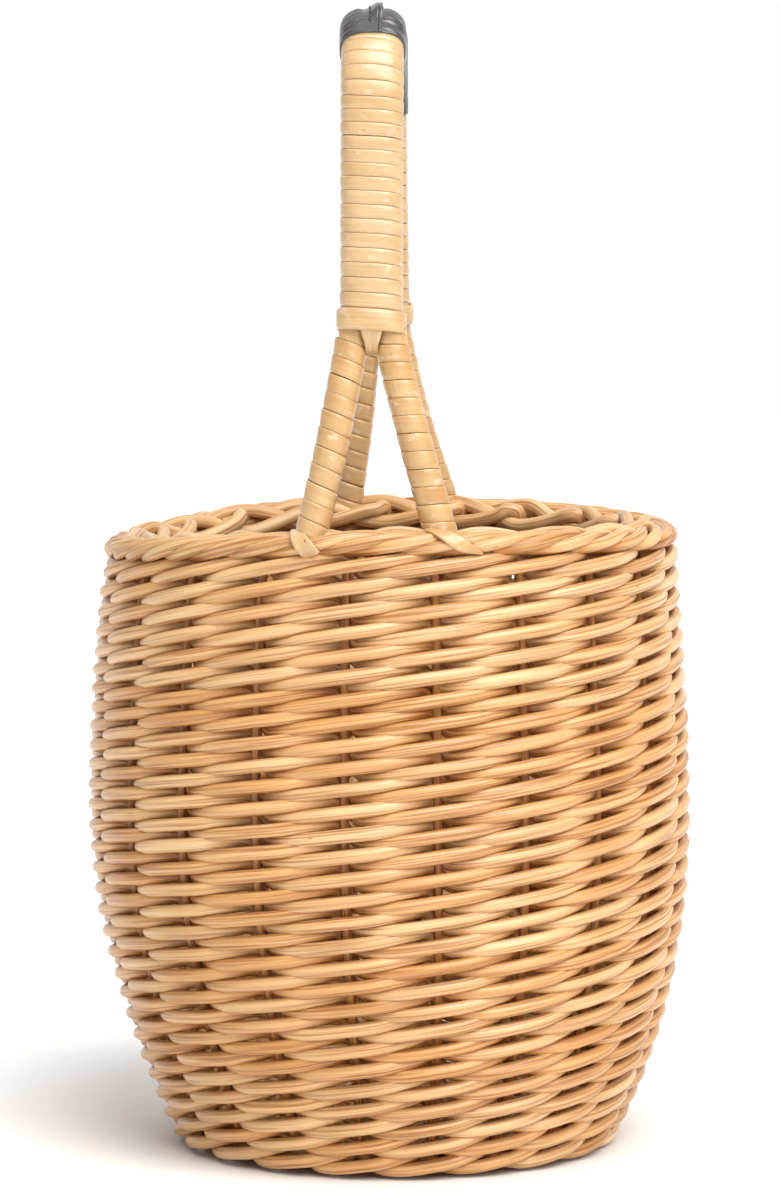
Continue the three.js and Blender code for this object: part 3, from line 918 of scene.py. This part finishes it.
def make_columns():
    rng = np.random.default_rng(29)
    front_start = COLLAR_TOP_LENGTH - UNDER_COLLAR
    stretches = {
        "front": (front_start, SLEEVE_START + UNDER_SLEEVE),
        "back": (SLEEVE_END - UNDER_SLEEVE, ARCH_LENGTH - front_start),
    }
    for end, (start, stop) in stretches.items():
        bundle = Bundle()
        pitches = COLUMN_PITCHES[end]
        # painted sheen: the columns take the pale end of the tint
        wind(bundle, arch_line, start, stop, COLUMN_SIZE, pitches, rng, tints=(0.55, 1))
        bundle.build(f"{end}_column_cane", handle_cane, [f"{end}_column_wrap"])


def make_legs():
    rng = np.random.default_rng(31)
    for end, hand in FEET:
        leg = Leg(end, hand)
        bundle = Bundle()
        wind(bundle, leg.line, 0.0, leg.length, LEG_SIZE, LEG_PITCHES, rng, tints=(0, 0.55))
        name = f"{end}_{hand}_leg"
        bundle.build(f"{name}_cane", handle_cane, [f"{name}_wrap"])


def make_rods():
    """The two rods inside the handle, seen only where the wrapping leaves them bare."""
    rng = np.random.default_rng(37)
    for hand, sign in HANDS.items():
        front, back = Leg("front", hand), Leg("back", hand)
        arch = arch_line(np.linspace(0.1, 0.9, 30) * ARCH_LENGTH)[0] + sign * ROD_SPREAD * SIDEWAYS
        ends = []
        for leg in (front, back):
            buried = leg.foot * [1.0, 1.01, 0] + [0, 0, 200 * MM]
            ends.append(np.vstack([buried[None], leg.points[:4]]))
        line = spline(np.vstack([ends[0], arch, ends[1][::-1]]), 180)
        steps = np.arange(len(line))
        from_tip = np.minimum(steps, steps[::-1])
        radius = (1.6 + 2.6 * fade(from_tip, 0, 12)) * MM
        bundle = Bundle()
        bundle.rod(line, radius, SIDEWAYS, rng.uniform(0, 1))
        bundle.build(f"{hand}_rod", stake_cane, [f"{hand}_handle_rod"])


def strip(bundle, centres, normal, width, thickness, tint):
    """A flat crowned strip along centres, lying with its crown towards normal."""
    tangent = unit(np.gradient(centres, axis=0))
    normal = square_to(normal, tangent)
    across = np.cross(normal, tangent)
    widths = np.broadcast_to(width, len(centres))
    rings = (
        centres[:, None]
        + (widths[:, None] / 2 * STRIP_PLACE[None])[..., None] * across[:, None]
        + (thickness * STRIP_CROWN)[None, :, None] * normal[:, None]
    )
    profile = np.stack([STRIP_PLACE * np.mean(widths) / 2, thickness * STRIP_CROWN], axis=-1)
    bundle.sweep(rings[:, ::-1], profile[::-1], lengths_along(centres), tint, offset=tint)


COLLAR_SIZE = (11.2 * MM, 8.2 * MM, 2.6)      # inside the collar's band
COLLAR_WIDTH = 7.4 * MM
COLLAR_THICKNESS = 0.9 * MM
COLLAR_LIFT = 10.4 * MM                       # its middle above the fork
COLLAR_SLANT = 0.8 * MM
KNOT_THICKNESS = 0.8 * MM
# The knot's path at a fork, from under the collar round the crotch: (out, up) in millimetres.
KNOT_PATH = [(8.1, 9.0), (6.9, 6.4), (6.0, 3.8), (4.6, 1.4), (2.4, 0.0), (0, -0.3)]


def make_collars():
    """A broad band round both rods at each fork, and a short knot that draws the fork together."""
    rng = np.random.default_rng(41)
    for end, side in ENDS.items():
        bundle = Bundle()
        at_fork = 0.0 if side < 0 else ARCH_LENGTH
        centre, along, outward = arch_line(np.array(at_fork))
        up = along * np.sign(along[2])
        turn = np.linspace(0, TAU * 1.03, 72) + math.pi
        across, out = oval(turn, *COLLAR_SIZE)
        lift = COLLAR_LIFT - COLLAR_SLANT * np.sin(turn)
        ring = (
            centre
            + across[:, None] * SIDEWAYS
            + out[:, None] * outward
            + lift[:, None] * up
        )
        normal = np.sin(turn)[:, None] * SIDEWAYS + np.cos(turn)[:, None] * outward
        strip(bundle, ring, normal, COLLAR_WIDTH, COLLAR_THICKNESS, 0.7)
        half = np.array(KNOT_PATH) * MM
        path = spline(np.vstack([half, half[-2::-1] * [-1, 1]]), 48)
        knot = centre + path[:, :1] * outward + path[:, 1:] * up
        away = path - np.array([0.0, 5 * MM])
        normal = away[:, :1] * outward + away[:, 1:] * up
        from_middle = np.abs(np.linspace(-1, 1, 48))
        width = (4.4 + 3.8 * fade(from_middle, 1 / 3, 1)) * MM
        strip(bundle, knot, normal, width, KNOT_THICKNESS, rng.uniform(0.3, 0.6))
        bundle.build(f"{end}_fork_cane", handle_cane, [f"{end}_fork_collar"])


STRAP_THICKNESS = 0.7 * MM
STRAP_CLEARANCE = 0.1 * MM

# The strap that ties each leg to the border, as points: stake spacings to the right of the leg
# as seen from outside, degrees round the roll from its outer side, and width in millimetres.
FOOT_STRAPS = {
    ("front", "left"): [
        (-0.18, 160, 3.4), (-0.18, 120, 3.8), (-0.16, 85, 4.6), (-0.09, 40, 5.6),
        (0.0, -5, 6.4), (0.06, -40, 7.4),
    ],
    ("front", "right"): [
        (-0.16, 86, 4.4), (-0.04, 54, 5.2), (0.12, 10, 5.0), (0.27, -18, 3.4), (0.4, -36, 1.0),
    ],
    ("back", "left"): [
        (0.2, 140, 3.8), (0.25, 95, 4.4), (0.1, 45, 4.6), (-0.1, 5, 4.2), (-0.3, -40, 2.0),
    ],
    ("back", "right"): [
        (0.05, 150, 3.6), (0.12, 105, 4.2), (0.1, 50, 4.4), (0.02, 0, 4.6), (-0.1, -40, 4.8),
    ],
}


def make_foot_straps():
    rng = np.random.default_rng(43)
    for (end, hand), points in FOOT_STRAPS.items():
        side = ENDS[end]
        leg_turn = math.atan2(FEET[end, hand], -side * FOOT_REACH)
        path = spline(points, 40)
        turn = leg_turn + path[:, 0] * STAKE_STEP
        angle = np.radians(path[:, 1])
        clear = BORDER_ROD_RADIUS + STRAP_CLEARANCE
        radius = ROLL_RADIUS + (ROLL_HALF_WIDTH + clear) * np.cos(angle)
        height = ROLL_HEIGHT + (ROLL_HALF_HEIGHT + clear) * np.sin(angle)
        centres = settled(around(radius, turn, height))
        normal = around(np.cos(angle), turn, 1.3 * np.sin(angle))
        bundle = Bundle()
        strip(bundle, centres, normal, path[:, 2] * MM, STRAP_THICKNESS, rng.uniform(0, 1))
        name = f"{end}_{hand}"
        bundle.build(f"{name}_strap", handle_cane, [f"{name}_foot_binding"])


# ---------- leather sleeve ----------

FLANGE_HALF = 1.3 * MM
FLANGE_ROOT = -1.0 * MM             # where it stands, right of the middle
FLANGE_LEAN = 3.3 * MM
LEATHER = 1.2 * MM
SEAM_GAP = math.radians(17)         # each side of the middle, under the raised seam
ROUND_TURN = np.linspace(SEAM_GAP, TAU - SEAM_GAP, 64)

# The raised seam in section: one face, then the slit between its two layers. Sideways in
# millimetres, and up as a share of its height.
FLANGE_FACE = [(-2.3, 0), (-1.55, 0.18), (-1.35, 0.4), (-1.3, 0.7), (-1.25, 0.92), (-0.9, 1)]
FLANGE_SLIT = [(-0.25, 1), (-0.05, 0.85), (0.05, 0.85), (0.25, 1)]

# The leather's small folds: least and most, in millimetres.
FOLD_GAP = (1.6, 3.2)
FOLD_SLANT = (0.8, 2.6)
FOLD_WIDTH = (0.5, 0.95)
FOLD_HEIGHT = (0.45, 1.0)


def flange_height(length):
    """The raised seam is sewn down flat near the mouths and stands up a little between them."""
    to_end = np.minimum(length - SLEEVE_START, SLEEVE_END - length)
    rise = fade(to_end, 5.5 * MM, 9.5 * MM)
    tip = np.exp(-(((to_end - 11 * MM) / (5 * MM)) ** 2))
    return (0.35 + 2.0 * rise + 0.6 * tip) * MM


def sleeve_section(height):
    """Outline of the sewn sleeve, as (side, out): round below, two layers raised above."""
    side, out = oval(ROUND_TURN, *SLEEVE_SIZE)
    left = np.array(FLANGE_FACE)
    raised = np.vstack([left, FLANGE_SLIT, left[::-1] * [-1, 1]])
    flange_side = FLANGE_ROOT + raised[:, 0] * MM + FLANGE_LEAN * raised[:, 1]
    flange_out = SLEEVE_SIZE[1] + height * raised[:, 1]
    return np.stack([np.concatenate([side, flange_side]), np.concatenate([out, flange_out])], -1)


def make_sleeve():
    """Black leather drawn round the grip, folded a little to each side of its raised seam."""
    rng = np.random.default_rng(47)
    count = 400
    lengths = np.linspace(SLEEVE_START, SLEEVE_END, count)
    sections = np.stack([sleeve_section(flange_height(length)) for length in lengths])
    points = sections.shape[1]
    round_part = np.arange(points) < len(ROUND_TURN)
    turn = np.concatenate([ROUND_TURN, np.zeros(points - len(ROUND_TURN))])
    from_seam = np.minimum(turn, TAU - turn)
    folded = np.exp(-((from_seam / 1.2) ** 2)) * round_part
    right = fade(np.sin(turn), -1 / 6, 1 / 6)
    pull = np.zeros((count, points))
    for side_share in (right, 1 - right):
        place = SLEEVE_START
        while place < SLEEVE_END:
            place += rng.uniform(*FOLD_GAP) * MM
            towards = np.sign((SLEEVE_START + SLEEVE_END) / 2 - place)
            slant = towards * -rng.uniform(*FOLD_SLANT) * MM
            offset = lengths[:, None] - place - slant * from_seam[None]
            ridge = np.exp(-((offset / (rng.uniform(*FOLD_WIDTH) * MM)) ** 2))
            pull += rng.uniform(*FOLD_HEIGHT) * MM * ridge * folded * side_share
    pull -= pull.mean()
    wave = 0.25 * MM * np.sin(lengths / (8 * MM))
    centre, direction, outward = arch_line(lengths)
    reach = np.linalg.norm(sections, axis=-1)
    scale = 1 + pull / reach
    side = sections[..., 0] * scale + np.where(round_part, 0, wave[:, None])
    out = sections[..., 1] * scale
    rings = centre[:, None] + side[..., None] * SIDEWAYS + out[..., None] * outward[:, None]
    # the mouths turn in, so the leather shows its cut thickness
    inner = 1 - LEATHER / reach[[0, -1]]
    mouths = []
    for row, end in ((0, 0), (1, -1)):
        inside = sections[end] * np.where(round_part, inner[row], 0.86)[:, None]
        mouths.append(centre[end] + inside[:, :1] * SIDEWAYS + inside[:, 1:] * outward[end])
    inward = direction * 0.3 * MM
    rings = np.concatenate([[mouths[0] + inward[0]], rings, [mouths[1] - inward[-1]]])
    along = np.concatenate([[lengths[0]], lengths, [lengths[-1]]])
    profile = np.concatenate([sections[:1], sections, sections[-1:]])
    bundle = Bundle()
    bundle.sweep(rings, profile, along, 0.5)
    bundle.build("grip_leather", black_leather, ["leather_sleeve", "grip_packing"])


def make_stitches():
    """Short stitches along both faces of the raised seam, a thread's width above the leather."""
    bundle = Bundle()
    starts = np.arange(SLEEVE_START + 1.5 * MM, SLEEVE_END - 3 * MM, 3.4 * MM)
    bow = np.sin(np.linspace(0, math.pi, 7))
    for start in starts[1:-1]:
        lengths = start + np.linspace(0, 2.4 * MM, 7)
        centre, direction, outward = arch_line(lengths)
        height = flange_height(lengths)
        for side in (-1, 1):
            across = side * (FLANGE_HALF - 0.3 * MM + 0.3 * MM * bow)
            across = across + FLANGE_ROOT + FLANGE_LEAN * 0.35
            out = SLEEVE_SIZE[1] + height * 0.35
            line = centre + across[:, None] * SIDEWAYS + out[:, None] * outward
            bundle.rod(line, 0.3 * MM, outward, 0.5, sides=6)
    bundle.build("seam_stitches", seam_thread, ["seam_thread"])


# ---------- floor, lights and camera ----------


FLOOR_HALF = 6.0
SUN_WIDTH = math.radians(50)
SUN_POWER = 2.95
SUN_COLOUR = (1.0, 0.985, 0.96)
SUN_DIRECTION = (-0.42, 0.7, -0.8)
TOP_LIGHT_SIZE = 0.7
TOP_LIGHT_POWER = 7
TOP_LIGHT_PLACE = (0.25, -0.5, 1.6)
TOP_LIGHT_DIRECTION = (-0.25, 0.5, -1.35)
WALL_LEVELS = [(0.0, 0.7), (0.4, 0.38), (0.68, 0.38), (0.92, 1)]   # from the front to the back
CEILING_LEVELS = [(0.45, 0), (0.85, 1)]                            # by height
CAMERA_PLACE = (-0.0004, -1.7, 0.337)
CAMERA_PITCH = math.radians(4.69)
CAMERA_LENS = 141.8


def make_stage():
    corners = [(x * FLOOR_HALF, y * FLOOR_HALF, 0) for x, y in ((-1, -1), (1, -1), (1, 1), (-1, 1))]
    mesh = bpy.data.meshes.new("floor")
    mesh.from_pydata(corners, [], [(0, 1, 2, 3)])
    mesh.materials.append(floor_material("floor"))
    floor = bpy.data.objects.new("floor", mesh)
    bpy.context.scene.collection.objects.link(floor)


def put(name, data, place, direction):
    """A lamp or a camera in the scene, at a place and pointed in a direction."""
    placed = bpy.data.objects.new(name, data)
    placed.location = place
    placed.rotation_euler = Vector(direction).to_track_quat("-Z", "Y").to_euler()
    bpy.context.scene.collection.objects.link(placed)
    return placed


def make_lights():
    """A soft sun from the upper right and a pale room: white behind and above, dim at the sides."""
    sun = bpy.data.lights.new("key", "SUN")
    sun.angle = SUN_WIDTH
    sun.energy = SUN_POWER
    sun.color = SUN_COLOUR
    put("key", sun, (0.0, 0.0, 0.0), SUN_DIRECTION)
    top = bpy.data.lights.new("top", "AREA")
    top.size = TOP_LIGHT_SIZE
    top.energy = TOP_LIGHT_POWER
    put("top", top, TOP_LIGHT_PLACE, TOP_LIGHT_DIRECTION)
    world = bpy.data.worlds.new("studio")
    world.use_nodes = True
    nodes, links = world.node_tree.nodes, world.node_tree.links
    background = nodes["Background"]
    background.inputs["Color"].default_value = (1.0, 1.0, 1.0, 1.0)
    direction = nodes.new("ShaderNodeSeparateXYZ")
    links.new(nodes.new("ShaderNodeTexCoord").outputs["Generated"], direction.inputs["Vector"])
    depth = nodes.new("ShaderNodeMapRange")
    depth.inputs["From Min"].default_value = -1.0
    links.new(direction.outputs["Y"], depth.inputs["Value"])
    brighter = nodes.new("ShaderNodeMath")
    brighter.operation = "MAXIMUM"
    walls = ramp(nodes, links, depth.outputs["Result"], greys(WALL_LEVELS))
    ceiling = ramp(nodes, links, direction.outputs["Z"], greys(CEILING_LEVELS))
    links.new(walls, brighter.inputs[0])
    links.new(ceiling, brighter.inputs[1])
    links.new(brighter.outputs["Value"], background.inputs["Strength"])
    bpy.context.scene.world = world
    bpy.context.scene.view_settings.view_transform = "Standard"


def make_camera():
    camera = bpy.data.cameras.new("camera")
    camera.sensor_width = 36.0
    camera.lens = CAMERA_LENS
    ahead = (0.0, math.cos(CAMERA_PITCH), -math.sin(CAMERA_PITCH))
    bpy.context.scene.camera = put("camera", camera, CAMERA_PLACE, ahead)


make_wall()
make_stakes()
make_base_sticks()
make_base_weaving()
make_rolled_border()
make_inner_plait()
make_columns()
make_legs()
make_rods()
make_collars()
make_foot_straps()
make_sleeve()
make_stitches()
make_stage()
make_lights()
make_camera()
